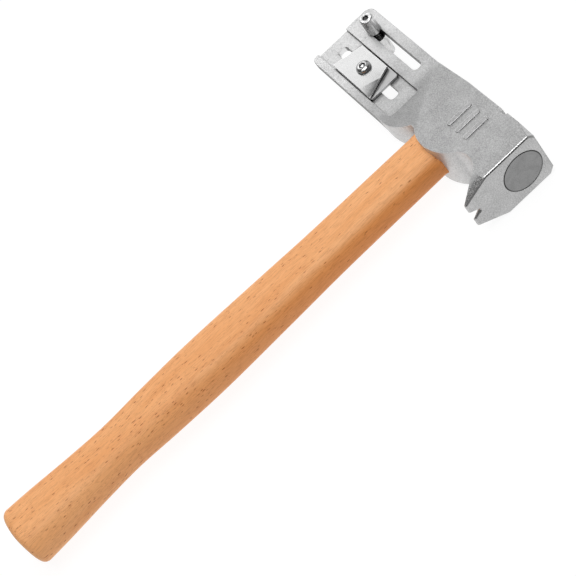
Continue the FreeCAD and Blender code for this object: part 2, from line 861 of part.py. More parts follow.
write_parts([
    head_casting(),
    striking_insert(),
    handle(),
    eye_wood_wedge(),
    eye_steel_wedge("eye_steel_wedge_front", "+ steel_wedge_x"),
    eye_steel_wedge("eye_steel_wedge_back", "- steel_wedge_x"),
    gauge_stud(),
    gauge_post("gauge_post_near", "near_post_end", False),
    gauge_post("gauge_post_far", "far_post_end", True),
    blade_carrier(),
    utility_blade(),
    clamp_plate(),
    clamp_screw(),
    clamp_backing_plate(),
    clamp_nut(),
])
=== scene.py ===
import json
import math

import bmesh
import bpy
from mathutils import Matrix, Vector


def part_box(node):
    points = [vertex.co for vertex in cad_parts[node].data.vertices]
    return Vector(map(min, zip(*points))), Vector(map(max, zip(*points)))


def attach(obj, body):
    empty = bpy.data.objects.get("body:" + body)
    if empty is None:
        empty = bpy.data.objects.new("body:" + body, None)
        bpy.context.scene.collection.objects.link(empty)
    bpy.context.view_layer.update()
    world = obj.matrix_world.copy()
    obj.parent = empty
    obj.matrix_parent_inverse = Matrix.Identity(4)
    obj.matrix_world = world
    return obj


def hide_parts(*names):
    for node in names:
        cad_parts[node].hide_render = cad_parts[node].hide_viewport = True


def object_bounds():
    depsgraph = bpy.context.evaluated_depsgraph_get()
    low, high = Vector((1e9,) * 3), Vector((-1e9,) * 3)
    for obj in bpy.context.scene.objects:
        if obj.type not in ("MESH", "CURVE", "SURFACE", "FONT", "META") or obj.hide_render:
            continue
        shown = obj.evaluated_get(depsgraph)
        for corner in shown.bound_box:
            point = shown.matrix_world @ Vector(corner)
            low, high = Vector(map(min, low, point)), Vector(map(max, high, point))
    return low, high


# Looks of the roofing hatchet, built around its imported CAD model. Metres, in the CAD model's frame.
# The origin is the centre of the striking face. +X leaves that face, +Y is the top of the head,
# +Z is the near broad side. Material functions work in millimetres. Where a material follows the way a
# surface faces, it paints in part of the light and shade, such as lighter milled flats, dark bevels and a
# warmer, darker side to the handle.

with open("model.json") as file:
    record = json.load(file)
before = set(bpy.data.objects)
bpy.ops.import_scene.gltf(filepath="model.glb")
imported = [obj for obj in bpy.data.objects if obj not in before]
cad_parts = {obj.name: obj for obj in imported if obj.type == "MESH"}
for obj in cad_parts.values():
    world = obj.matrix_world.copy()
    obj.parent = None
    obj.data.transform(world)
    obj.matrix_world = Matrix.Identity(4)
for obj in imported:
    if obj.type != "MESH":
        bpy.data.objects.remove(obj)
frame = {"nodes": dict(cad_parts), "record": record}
cad_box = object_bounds()
nodes = frame["nodes"]

MM = 0.001


# ---------------------------------------------------------------- camera, floor and lights

VIEW_RIGHT = Vector((0.5231, 0.7261, -0.4463))
VIEW_FORWARD = Vector((-0.6537, 0.0058, -0.7568))
FACE_FROM_CAMERA = Vector((124.983, -62.023, 1061.854)) * MM   # striking face: right, down, ahead
SENSOR_WIDTH = 36.0
FOCAL_LENGTH = 125.0
FLOOR_HALF = 3.0
FLOOR_GREY = 0.12
FLOOR_GLOW = 0.92


def add_camera():
    """Long lens above the striking face, looking down across the near broad side."""
    forward = VIEW_FORWARD.normalized()
    right = (VIEW_RIGHT - forward * VIEW_RIGHT.dot(forward)).normalized()
    up = right.cross(forward)
    shift = FACE_FROM_CAMERA
    place = up * shift.y - right * shift.x - forward * shift.z
    data = bpy.data.cameras.new("Camera")
    data.sensor_width = SENSOR_WIDTH
    data.lens = FOCAL_LENGTH
    data.clip_start = 0.05
    data.clip_end = 20.0
    camera = bpy.data.objects.new("Camera", data)
    bpy.context.scene.collection.objects.link(camera)
    turn = Matrix((right, up, -forward)).transposed()
    camera.matrix_world = Matrix.Translation(place) @ turn.to_4x4()
    bpy.context.scene.camera = camera


def add_floor():
    """Plain white lit floor that the hatchet lies on, so that shadows on it stay faint."""
    half = FLOOR_HALF
    height = cad_box[0].z
    mesh = bpy.data.meshes.new("floor")
    corners = [(-half, -half, height), (half, -half, height), (half, half, height), (-half, half, height)]
    mesh.from_pydata(corners, [], [(0, 1, 2, 3)])
    floor = bpy.data.objects.new("floor", mesh)
    bpy.context.scene.collection.objects.link(floor)
    paper = bpy.data.materials.new("floor_paper")
    paper.use_nodes = True
    shader = paper.node_tree.nodes["Principled BSDF"]
    shader.inputs["Base Color"].default_value = (FLOOR_GREY, FLOOR_GREY, FLOOR_GREY, 1.0)
    shader.inputs["Roughness"].default_value = 0.9
    shader.inputs["Specular IOR Level"].default_value = 0.0
    shader.inputs["Emission Color"].default_value = (1.0, 1.0, 1.0, 1.0)
    shader.inputs["Emission Strength"].default_value = FLOOR_GLOW
    mesh.materials.append(paper)


def add_softbox(name, toward, distance, width, height, radiance, middle=(-0.08, -0.05, 0.0)):
    """Rectangular soft light that faces a point of the hatchet, equally bright at any size."""
    data = bpy.data.lights.new(name, "AREA")
    data.shape = "RECTANGLE"
    data.size = width
    data.size_y = height
    data.energy = radiance * math.pi * width * height
    light = bpy.data.objects.new(name, data)
    bpy.context.scene.collection.objects.link(light)
    away = Vector(toward).normalized()
    light.location = Vector(middle) + away * distance
    light.rotation_mode = "QUATERNION"
    light.rotation_quaternion = (-away).to_track_quat("-Z", "Y")


def add_world():
    """Surroundings that are light above the blade end and dark beyond the striking face."""
    world = bpy.data.worlds.new("World")
    bpy.context.scene.world = world
    world.use_nodes = True
    tree = world.node_tree
    place = tree.nodes.new("ShaderNodeTexCoord")
    toward = tree.nodes.new("ShaderNodeVectorMath")
    toward.operation = "DOT_PRODUCT"
    toward.inputs[1].default_value = Vector((-0.8, 0.45, 0.4)).normalized()
    fade = tree.nodes.new("ShaderNodeMapRange")
    fade.interpolation_type = "SMOOTHSTEP"
    fade.inputs["From Min"].default_value = 0.3
    fade.inputs["From Max"].default_value = 0.85
    fade.inputs["To Min"].default_value = 0.12
    fade.inputs["To Max"].default_value = 0.6
    tree.links.new(place.outputs["Generated"], toward.inputs[0])
    tree.links.new(toward.outputs["Value"], fade.inputs["Value"])
    tree.links.new(fade.outputs["Result"], tree.nodes["Background"].inputs["Strength"])
    tree.nodes["Background"].inputs["Color"].default_value = (1.0, 1.0, 1.0, 1.0)


def add_lights():
    """Soft studio light: a wide box beyond the blade end, a strip above it and one overhead."""
    add_world()
    add_softbox("box_beyond", (-0.82, 0.05, 0.57), 1.3, 1.0, 0.7, 0.75)
    add_softbox("box_blade_end", (-0.74, 0.04, 0.67), 1.23, 0.5, 0.2, 0.95)
    add_softbox("box_overhead", (0.1, 0.02, 1.0), 1.4, 1.0, 1.1, 3.7)
    add_softbox("box_butt", (0.1, -0.3, 1.0), 0.8, 0.3, 0.3, 1.6, middle=(-0.05, -0.32, 0.0))


# ---------------------------------------------------------------- material kit

class Graph:
    """A material's nodes. Coordinates are millimetres in the piece's own space."""

    def __init__(self, name, **settings):
        self.material = bpy.data.materials.new(name)
        self.material.use_nodes = True
        self.tree = self.material.node_tree
        self.shader = self.tree.nodes["Principled BSDF"]
        for socket, setting in settings.items():
            self.shader.inputs[socket.replace("_", " ")].default_value = setting
        place = self.add("TexCoord")
        self.normal = place.outputs["Normal"]
        self.mm = self.vector("SCALE", place.outputs["Object"], Scale=1.0 / MM)

    def add(self, kind, inputs=(), **settings):
        node = self.tree.nodes.new("ShaderNode" + kind)
        for name, setting in settings.items():
            setattr(node, name, setting)
        for socket, given in dict(inputs).items():
            self.feed(node.inputs[socket], given)
        return node

    def feed(self, socket, given):
        if isinstance(given, bpy.types.NodeSocket):
            self.tree.links.new(given, socket)
        else:
            socket.default_value = given

    def vector(self, operation, first, second=None, **named):
        inputs = {0: first, **named}
        if second is not None:
            inputs[1] = second
        return self.add("VectorMath", inputs, operation=operation).outputs["Vector"]

    def math(self, operation, first, second=0.0):
        return self.add("Math", {0: first, 1: second}, operation=operation).outputs[0]

    def noise(self, size, detail=3.0, roughness=0.55, stretch=(1.0, 1.0, 1.0), distortion=0.0):
        """Cloudy pattern whose features are about this many millimetres, longer where stretched."""
        scale = tuple(1.0 / (size * share) for share in stretch)
        place = self.vector("MULTIPLY", self.mm, scale)
        inputs = {"Vector": place, "Scale": 1.0, "Detail": detail, "Roughness": roughness,
                  "Distortion": distortion}
        return self.add("TexNoise", inputs).outputs["Fac"]

    def span(self, given, low, high, to_low=0.0, to_high=1.0):
        """Smooth step of a value from one range to another."""
        inputs = {"Value": given, "From Min": low, "From Max": high, "To Min": to_low, "To Max": to_high}
        return self.add("MapRange", inputs, interpolation_type="SMOOTHSTEP").outputs["Result"]

    def mix(self, share, first, second):
        """Blend of two colours."""
        node = self.add("Mix", data_type="RGBA")
        self.feed(node.inputs["Factor"], share)
        self.feed(node.inputs[6], first)
        self.feed(node.inputs[7], second)
        return node.outputs[2]

    def paint(self, colour, mask, share, tone):
        """The colour turned toward a grey tone by a share, where the mask is one."""
        return self.mix(self.math("MULTIPLY", mask, share), colour, grey(tone))

    def bump(self, height, depth, normal=None):
        """Surface relief: a height of one stands this many millimetres proud."""
        inputs = {"Height": height, "Distance": depth * MM, "Strength": 1.0}
        if normal is not None:
            inputs["Normal"] = normal
        return self.add("Bump", inputs).outputs["Normal"]

    def along(self, axis):
        """Distance in millimetres along X, Y or Z from the striking face's centre."""
        return self.add("SeparateXYZ", {0: self.mm}).outputs[axis]

    def facing(self, direction, low, high, normal=None):
        """One where the surface faces a direction, zero where it turns away."""
        toward = Vector(direction).normalized()
        inputs = {0: normal or self.normal, 1: toward}
        return self.span(self.add("VectorMath", inputs, operation="DOT_PRODUCT").outputs["Value"], low, high)

    def edges(self, width):
        """One on convex edges within this many millimetres, zero on open faces."""
        inputs = {"Distance": width * MM}
        open_share = self.add("AmbientOcclusion", inputs, inside=True, only_local=True, samples=6)
        return self.span(open_share.outputs["AO"], 0.85, 0.45)

    def hollows(self, width, own=True):
        """One deep in corners within this many millimetres, made by this piece or by any; the materials
        paint shade with it.
        """
        inputs = {"Distance": width * MM}
        open_share = self.add("AmbientOcclusion", inputs, only_local=own, samples=6)
        return self.span(open_share.outputs["AO"], 0.75, 0.2)

    def rounded(self, radius):
        """Normals as if the sharp edges were rounded by this many millimetres."""
        return self.add("Bevel", {"Radius": radius * MM}, samples=6).outputs["Normal"]

    def finish(self, colour, roughness, normal=None):
        self.feed(self.shader.inputs["Base Color"], colour)
        self.feed(self.shader.inputs["Roughness"], roughness)
        if normal is not None:
            self.feed(self.shader.inputs["Normal"], normal)
        return self.material


def grey(level):
    return (level, level, level, 1.0)


# ---------------------------------------------------------------- metals

CLAW_SIDE = (0.0, -0.433, 0.901)
FACE_EDGE = (0.42, 0.0, 0.91)
PLATE_FACET = (0.156, -0.168, 0.973)


def cast_alloy():
    """Tumbled aluminium casting: sandy grain, rubbed edges, and painted light and shade:
    bright milled blade end, a painted edge highlight, dark bevels, corners and rims.
    """
    g = Graph("cast_alloy", Metallic=1.0)
    x = g.along("X")
    cloud = g.noise(14.0, detail=4.0)
    grain = g.noise(0.8, detail=4.0, roughness=0.75)
    speck = g.noise(2.0, detail=3.0, roughness=0.65)
    blade_end = g.span(x, -90.0, -100.0)
    level = g.math("ADD", g.span(cloud, 0.3, 0.7, 0.37, 0.43), g.span(grain, 0.3, 0.7, -0.09, 0.09))
    # Painted light: lighter milled flats, striking face, top corners and smooth undersides.
    level = g.math("ADD", level, cast_painted_light(g, x, blade_end))
    # The claw's side is painted a pitted darker grey: partly its rough pitted surface, partly painted shade.
    pitted_and_shaded_claw_side = g.math("MULTIPLY", g.facing(CLAW_SIDE, 0.975, 0.99), g.span(x, -14.0, -11.0))
    pitted = g.span(g.noise(0.6, detail=2.0), 0.4, 0.6, 0.12, 0.5)
    colour = g.mix(g.span(speck, 0.6, 0.74, 0.0, 0.4), level, grey(0.22))
    colour = g.mix(g.math("MULTIPLY", pitted_and_shaded_claw_side, 0.85), colour, pitted)
    # Painted shade: in the blade end, walls that face down are painted near black.
    painted_underside = g.facing((0.0, -1.0, 0.0), 0.5, 0.9)
    colour = g.paint(colour, g.math("MULTIPLY", painted_underside, blade_end), 0.8, 0.08)
    # Painted shade: the bevels between the striking face and the broad sides are painted near black.
    bevel = g.math("ADD", g.facing((1.0, 0.0, 1.0), 0.96, 0.99), g.facing((1.0, 0.0, -1.0), 0.96, 0.99))
    colour = g.paint(colour, bevel, 0.75, 0.08)
    # Painted shade: darker deep in corners and where other parts come close, weaker toward the bottom.
    corners = g.math("MULTIPLY", g.hollows(2.6, own=False), g.span(g.along("Y"), -31.0, -28.0, 0.3, 1.0))
    colour = g.mix(corners, colour, grey(0.03))
    rounded = g.rounded(0.6)
    # Painted highlight: a bright, glossier line where the near side rounds into the striking face's bevel.
    painted_edge_highlight = g.math("MULTIPLY", g.facing(FACE_EDGE, 0.95, 0.98, rounded), g.span(x, -5.0, -3.0))
    # Painted light: in the blade end, walls that face the same way as the striking face are painted light.
    lit_end_walls = g.math("MULTIPLY", g.facing((1.0, 0.0, 0.0), 0.5, 0.9), blade_end)
    colour = g.paint(colour, lit_end_walls, 0.85, 0.95)
    # Painted shade: in the blade end, rounded rims between the near side and downward walls are painted near
    # black.
    shaded_low_rims = g.math("MULTIPLY", g.facing((0.0, -0.6, 0.8), 0.88, 0.97, rounded), blade_end)
    colour = g.paint(colour, shaded_low_rims, 0.8, 0.06)
    # Rubbed edges and the painted highlight turn near white.
    colour = g.mix(g.math("MAXIMUM", g.edges(0.5), painted_edge_highlight), colour, grey(0.95))
    roughness = g.math("SUBTRACT", g.span(grain, 0.3, 0.7, 0.52, 0.38), g.math("MULTIPLY", painted_edge_highlight, 0.15))
    height = g.math("ADD", grain, g.math("MULTIPLY", speck, 1.5))
    height = g.math("ADD", height, g.math("MULTIPLY", pitted_and_shaded_claw_side, pitted))
    return g.finish(colour, roughness, g.bump(height, 0.07, rounded))


def cast_painted_light(g, x, blade_end):
    """Painted light: how much lighter the casting's milled flats, face, top corners and curved undersides
    are painted, on top of the milled flats' own brightness.
    """
    flat = g.facing((0.0, 0.0, 1.0), 0.9, 0.99)
    # Painted light: the milled flats are lifted more toward the blade end's tip.
    lift = g.span(x, -105.0, -140.0, 0.08, 0.22)
    milled = g.math("MULTIPLY", g.math("MULTIPLY", blade_end, flat), lift)
    # Painted light: the striking face, the top corner facets and the smooth undersides are painted lighter.
    face = g.facing((1.0, 0.0, 0.0), 0.97, 0.99)
    corner = g.facing((0.1, 0.72, 0.69), 0.93, 0.98)
    painted_underside = g.facing((0.0, -1.0, 0.0), 0.5, 0.9)
    lit_smooth_underside = g.math("MULTIPLY", painted_underside, g.math("SUBTRACT", 1.0, blade_end))
    tone = g.math("ADD", milled, g.math("MULTIPLY", face, 0.08))
    tone = g.math("ADD", tone, g.math("MULTIPLY", corner, 0.3))
    return g.math("ADD", tone, g.math("MULTIPLY", lit_smooth_underside, 0.2))


def insert_steel():
    """Hardened steel disc, darker than the casting, mottled and faintly turned."""
    g = Graph("insert_steel", Metallic=1.0)
    cloud = g.noise(5.0, detail=5.0, roughness=0.6, distortion=0.6)
    fine = g.noise(0.7, detail=4.0, roughness=0.7)
    level = g.math("ADD", g.span(cloud, 0.3, 0.7, 0.225, 0.285), g.span(fine, 0.3, 0.7, -0.03, 0.03))
    radius = radius_from_x_axis(g)
    colour = g.mix(g.span(radius, 12.0, 12.5), level, grey(0.05))
    rings = g.math("SINE", g.math("MULTIPLY", radius, 9.0))
    normal = g.bump(rings, 0.004)
    normal = g.bump(fine, 0.02, normal)
    return g.finish(colour, g.span(cloud, 0.3, 0.7, 0.36, 0.46), normal)


def radius_from_x_axis(g):
    """Distance in millimetres from the axis of the striking face."""
    flat = g.vector("MULTIPLY", g.mm, (0.0, 1.0, 1.0))
    return g.add("VectorMath", {0: flat}, operation="LENGTH").outputs["Value"]


def turned_steel(name, light, dark, rough):
    """Lathe-turned plated steel: fine rings across the axis, handling marks along it."""
    g = Graph(name, Metallic=1.0)
    rings = g.noise(0.35, detail=2.0, stretch=(40.0, 40.0, 1.0))
    marks = g.noise(2.2, detail=4.0, stretch=(1.0, 1.0, 4.0), distortion=0.8)
    colour = g.mix(g.span(marks, 0.35, 0.65), grey(light), grey(dark))
    colour = g.mix(g.edges(0.35), colour, grey(0.92))
    # Painted shade: darker deep in the piece's own hollows, such as its socket.
    colour = g.mix(g.hollows(2.5), colour, grey(0.02))
    roughness = g.span(marks, 0.3, 0.7, rough, rough + 0.16)
    normal = g.bump(rings, 0.02)
    return g.finish(colour, roughness, g.bump(marks, 0.03, normal))


def flat_steel(name, light, dark, rough, along=(1.0, 14.0, 1.0), edge=0.85):
    """Sheet or ground steel: hair-fine lines one way, soft clouds, rubbed edges and painted shade in corners
    and next to other parts.
    """
    g = Graph(name, Metallic=1.0)
    lines = g.noise(0.3, detail=3.0, stretch=along)
    cloud = g.noise(6.0, detail=4.0)
    level = g.math("ADD", g.span(cloud, 0.3, 0.7, dark, light), g.span(lines, 0.3, 0.7, -0.02, 0.02))
    colour = g.mix(g.edges(0.3), level, grey(edge))
    # Painted shade: darker in corners and next to other parts.
    colour = g.mix(g.hollows(2.6, own=False), colour, grey(dark * 0.06))
    clouded = g.span(cloud, 0.3, 0.7, rough, rough + 0.08)
    roughness = g.math("ADD", clouded, g.span(lines, 0.3, 0.7, -0.03, 0.03))
    return g.finish(colour, roughness, g.bump(lines, 0.012))


def clamp_steel():
    """Bright plated clamp plate: soft clouds, sparse scratches, and painted shade on its corner facet, lower
    side and hollows.
    """
    g = Graph("plate_steel", Metallic=1.0)
    cloud = g.noise(5.0, detail=4.0)
    fine = g.noise(0.5, detail=4.0, roughness=0.7)
    level = g.math("ADD", g.span(cloud, 0.3, 0.7, 0.48, 0.56), g.span(fine, 0.3, 0.7, -0.025, 0.025))
    # Painted shade: the corner facet is painted dark.
    facet = g.facing(PLATE_FACET, 0.985, 0.995)
    colour = g.mix(facet, level, grey(0.1))
    # Painted shade: the lower side is painted near black.
    shaded_lower_side = g.facing((0.0, -1.0, 0.2), 0.5, 0.9)
    colour = g.mix(shaded_lower_side, colour, grey(0.03))
    scratch = g.noise(0.2, detail=1.0, stretch=(1.0, 30.0, 1.0), distortion=0.4)
    colour = g.mix(g.span(scratch, 0.68, 0.76, 0.0, 0.5), colour, grey(0.3))
    # Painted shade in the plate's own hollows.
    colour = g.mix(g.hollows(1.2), colour, grey(0.1))
    colour = g.mix(g.edges(0.35), colour, grey(0.95))
    roughness = g.math("ADD", g.span(cloud, 0.3, 0.7, 0.24, 0.32), g.span(fine, 0.3, 0.7, -0.04, 0.04))
    return g.finish(colour, roughness, g.bump(fine, 0.005))


def bright_screw():
    """Chromed screw with faint polishing marks and painted shade in its socket and thread."""
    g = Graph("screw_chrome", Metallic=1.0)
    smear = g.noise(1.6, detail=4.0, distortion=1.0)
    scratch = g.noise(0.25, detail=2.0, stretch=(8.0, 1.0, 1.0))
    # Painted shade: near black deep in the socket and thread.
    colour = g.mix(g.hollows(1.8), grey(0.52), grey(0.01))
    roughness = g.math("ADD", g.span(smear, 0.3, 0.7, 0.05, 0.13), g.span(scratch, 0.5, 0.8, 0.0, 0.06))
    return g.finish(colour, roughness, g.bump(smear, 0.01))


def black_thread():
    """Black oxide thread with bright crests: partly metal worn bare, partly painted highlight."""
    g = Graph("stud_steel", Metallic=1.0)
    wear = g.noise(0.8, detail=3.0)
    # Bright crests: partly wear, partly painted highlight.
    crest_wear_and_highlight = g.math("MULTIPLY", g.edges(0.35), g.span(wear, 0.3, 0.55))
    colour = g.mix(crest_wear_and_highlight, grey(0.04), grey(0.9))
    return g.finish(colour, g.span(wear, 0.3, 0.7, 0.22, 0.36), g.bump(wear, 0.02))


# ---------------------------------------------------------------- woods

def wood(name, light, dark, fleck, fleck_share, shade, rough=0.42):
    """Hardwood whose grain runs along Y: growth rings, fine fibres, short dark ray flecks, and painted shade
    on the side facing +X.
    """
    g = Graph(name, Metallic=0.0, Specular_IOR_Level=0.2)
    bend = g.noise(60.0, detail=2.0, stretch=(1.0, 3.0, 1.0))
    broad = g.noise(7.0, detail=3.0, stretch=(1.0, 12.0, 1.0), distortion=0.4)
    fibre = g.noise(0.45, detail=4.0, roughness=0.65, stretch=(1.0, 16.0, 1.0))
    pore = g.noise(0.8, detail=2.0, stretch=(1.0, 4.0, 1.0))
    tone = g.math("ADD", g.math("MULTIPLY", broad, 0.7), g.math("MULTIPLY", bend, 0.3))
    colour = g.mix(g.span(tone, 0.35, 0.65), light, dark)
    # Painted shade: the side facing +X is turned toward the shade colour, more so near the head.
    nearness = g.span(g.along("Y"), -330.0, -60.0, 0.05, 0.9)
    side = g.math("MULTIPLY", g.facing((1.0, 0.0, -0.3), 0.2, 0.8), nearness)
    colour = g.mix(side, colour, shade)
    colour = g.mix(g.span(fibre, 0.42, 0.7, 0.0, 0.34), colour, fleck)
    colour = g.mix(g.span(pore, 0.6, 0.74, 0.0, 0.22), colour, fleck)
    large = ray_flecks(g, (0.75, 0.17, 0.75), fleck_share)
    small = ray_flecks(g, (1.4, 0.42, 1.4), fleck_share * 0.7)
    flecks = g.math("MAXIMUM", g.math("MULTIPLY", large, 0.95), g.math("MULTIPLY", small, 0.45))
    colour = g.mix(flecks, colour, fleck)
    colour = g.mix(end_grain(g), colour, fleck)
    height = g.math("SUBTRACT", g.math("MULTIPLY", fibre, 0.5), g.math("MULTIPLY", flecks, 0.3))
    return g.finish(colour, g.span(fibre, 0.3, 0.7, rough, rough + 0.12), g.bump(height, 0.05))


def end_grain(g):
    """Darker growth-ring arcs and open pores, only on the surfaces cut across the grain."""
    cut = g.math("ADD", g.facing((0.0, 1.0, 0.0), 0.93, 0.99), g.facing((0.0, -1.0, 0.0), 0.93, 0.99))
    across = g.vector("MULTIPLY", g.vector("ADD", g.mm, (75.0, 0.0, 30.0)), (1.0, 0.0, 1.0))
    radius = g.add("VectorMath", {0: across}, operation="LENGTH").outputs["Value"]
    wander = g.math("MULTIPLY", g.noise(9.0, detail=2.0), 2.4)
    rings = g.math("SINE", g.math("MULTIPLY", g.math("ADD", radius, wander), 2.3))
    pores = g.span(g.noise(0.5, detail=2.0), 0.52, 0.62, 0.0, 0.3)
    dark = g.math("ADD", g.span(rings, -0.6, 1.0, 0.12, 0.36), pores)
    return g.math("MULTIPLY", cut, dark)


def ray_flecks(g, spacing, share):
    """Short dashes along the grain that gather toward the butt and thin out toward the head."""
    drift = g.add("TexNoise", {"Vector": g.mm, "Scale": 0.05, "Detail": 2.0}).outputs["Color"]
    drift = g.vector("SCALE", g.vector("SUBTRACT", drift, (0.5, 0.5, 0.5)), Scale=4.0)
    place = g.vector("MULTIPLY", g.vector("ADD", g.mm, drift), spacing)
    cells = g.add("TexVoronoi", {"Vector": place, "Scale": 1.0, "Randomness": 1.0})
    dash = g.span(cells.outputs["Distance"], 0.27, 0.12)
    pick = g.add("SeparateColor", {"Color": cells.outputs["Color"]}).outputs["Red"]
    patches = g.span(g.noise(14.0, detail=1.0, stretch=(1.0, 2.0, 1.0)), 0.35, 0.65, 0.5, 1.5)
    crowd = g.math("MULTIPLY", patches, g.span(g.along("Y"), -40.0, -330.0, share * 0.5, share * 1.6))
    chosen = g.math("LESS_THAN", pick, crowd)
    strength = g.span(g.noise(4.0, detail=1.0), 0.35, 0.6, 0.4, 1.0)
    return g.math("MULTIPLY", g.math("MULTIPLY", dash, chosen), strength)


BEECH_LIGHT = (0.97, 0.49, 0.215, 1.0)
BEECH_DARK = (0.9, 0.41, 0.16, 1.0)
BEECH_FLECK = (0.42, 0.11, 0.03, 1.0)
# Colour of the painted shade on the handle's +X side.
BEECH_PAINTED_SHADE = (0.82, 0.3, 0.08, 1.0)
WEDGE_LIGHT = (0.42, 0.22, 0.1, 1.0)
WEDGE_DARK = (0.3, 0.14, 0.06, 1.0)
WEDGE_FLECK = (0.12, 0.05, 0.02, 1.0)


def make_materials():
    """One material for each of the record's slots."""
    return {
        "cast_alloy": cast_alloy(),
        "insert_steel": insert_steel(),
        "handle_wood": wood("handle_wood", BEECH_LIGHT, BEECH_DARK, BEECH_FLECK, 0.6, BEECH_PAINTED_SHADE),
        "wedge_wood": wood("wedge_wood", WEDGE_LIGHT, WEDGE_DARK, WEDGE_FLECK, 0.3, WEDGE_DARK, rough=0.6),
        "wedge_steel": flat_steel("wedge_steel", 0.36, 0.24, 0.42),
        "post_steel": turned_steel("post_steel", 0.72, 0.45, 0.22),
        "stud_steel": black_thread(),
        "carrier_steel": flat_steel("carrier_steel", 0.46, 0.38, 0.32),
        "blade_steel": flat_steel("blade_steel", 0.6, 0.5, 0.2, along=(14.0, 1.0, 1.0)),
        "plate_steel": clamp_steel(),
        "screw_chrome": bright_screw(),
        "nut_steel": flat_steel("nut_steel", 0.58, 0.45, 0.3),
    }


# ---------------------------------------------------------------- CAD nodes

EDGE_WIDTHS = {   # rounding of each kept CAD node's edges, in millimetres
    "head_casting": 0.25,
    "striking_insert": 0.12,
    "eye_wood_wedge": 0.15,
    "eye_steel_wedge_front": 0.12,
    "eye_steel_wedge_back": 0.12,
    "gauge_post_near": 0.15,
    "gauge_post_far": 0.15,
    "blade_carrier": 0.18,
    "utility_blade": 0.04,
    "clamp_plate": 0.18,
    "clamp_backing_plate": 0.18,
    "clamp_nut": 0.2,
}


WELD_GAP = 0.001 * MM
FLAT_ANGLE = math.radians(0.6)
SHARP_ANGLE = math.radians(28.0)


def soften_edges(node, width):
    """Merge the flat triangles, round every sharp edge and shade the result smoothly."""
    weld = node.modifiers.new("Weld", "WELD")
    weld.merge_threshold = WELD_GAP
    flatten = node.modifiers.new("Flatten", "DECIMATE")
    flatten.decimate_type = "DISSOLVE"
    flatten.angle_limit = FLAT_ANGLE
    bevel = node.modifiers.new("Bevel", "BEVEL")
    bevel.width = width * MM
    bevel.segments = 2
    bevel.limit_method = "ANGLE"
    bevel.angle_limit = SHARP_ANGLE
    bevel.miter_outer = "MITER_ARC"
    smooth = node.modifiers.new("Smooth", "WEIGHTED_NORMAL")
    smooth.keep_sharp = False
    smooth.weight = 100


def slot_of(node):
    """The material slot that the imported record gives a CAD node."""
    return next(part["material_slot"] for part in frame["record"]["subparts"] if part["node"] == node)


def dress_nodes(materials):
    for name, width in EDGE_WIDTHS.items():
        mesh = nodes[name].data
        mesh.materials.clear()
        mesh.materials.append(materials[slot_of(name)])
        soften_edges(nodes[name], width)


# ---------------------------------------------------------------- handle

RING_POINTS = 96
CREASE_POWER = 9.5         # how crisply the octagon's faces meet
BUTT_ROUND = 4.2 * MM
BUTT_STEPS = 6
GRIP_TOP = -28.0 * MM      # height of the grip's shoulder, just inside the head
GRIP_STATIONS = 110
SHOULDER_RISE = 1.0 * MM
DOME_RADIUS = 62.0 * MM
DOME_RINGS = 8
TENON = (28.4 * MM, 19.2 * MM, 4.5 * MM)   # width, thickness and corner cut
TENON_POWER = 60.0
TENON_EDGE = 0.3 * MM
WEDGES_PROUD = 0.25 * MM

# Grip sections: distance below the origin, width, thickness and corner cut, in millimetres
GRIP = (
    (28.0, 29.0, 19.8, 4.6),
    (60.0, 29.3, 20.2, 4.6),
    (105.0, 29.8, 21.2, 4.9),
    (145.0, 32.0, 22.8, 5.4),
    (195.0, 34.6, 24.6, 6.2),
    (230.0, 33.2, 24.0, 6.0),
    (259.0, 31.2, 22.8, 5.7),
    (285.0, 33.4, 24.2, 6.2),
    (312.0, 37.2, 26.6, 7.0),
    (338.0, 39.6, 28.4, 7.6),
)


def curve_through(table, at):
    """Smooth value of each column of a table at a distance given by its first column."""
    places = [row[0] for row in table]
    index = max(i for i in range(len(table) - 1) if places[i] <= at or i == 0)
    before = table[max(index - 1, 0)]
    start = table[index]
    finish = table[index + 1]
    after = table[min(index + 2, len(table) - 1)]
    step = finish[0] - start[0]
    share = (at - start[0]) / step
    found = []
    for column in range(1, len(start)):
        slope_in = (finish[column] - before[column]) / (finish[0] - before[0]) * step
        slope_out = (after[column] - start[column]) / (after[0] - start[0]) * step
        square = share * share
        cube = square * share
        found.append(
            (2 * cube - 3 * square + 1) * start[column] + (cube - 2 * square + share) * slope_in
            + (3 * square - 2 * cube) * finish[column] + (cube - square) * slope_out)
    return found


def octagon_radius(angle, width, thick, corner, power):
    """Distance from the axis to an octagon with cut corners; a higher power makes them crisper."""
    diagonal = (width / 2 + thick / 2 - corner) / math.sqrt(2.0)
    total = 0.0
    for number in range(8):
        facing = number * math.pi / 4
        reach = (width / 2, diagonal, thick / 2)[(0, 1, 2, 1)[number % 4]]
        toward = math.cos(angle - facing)
        if toward > 0.0:
            total += (toward / reach) ** power
    return total ** (-1.0 / power)


def grip_radius(angle, down):
    """Distance of the grip's surface from its axis this far below the striking face's axis."""
    width, thick, corner = (size * MM for size in curve_through(GRIP, down))
    return octagon_radius(angle, width, thick, corner, CREASE_POWER)


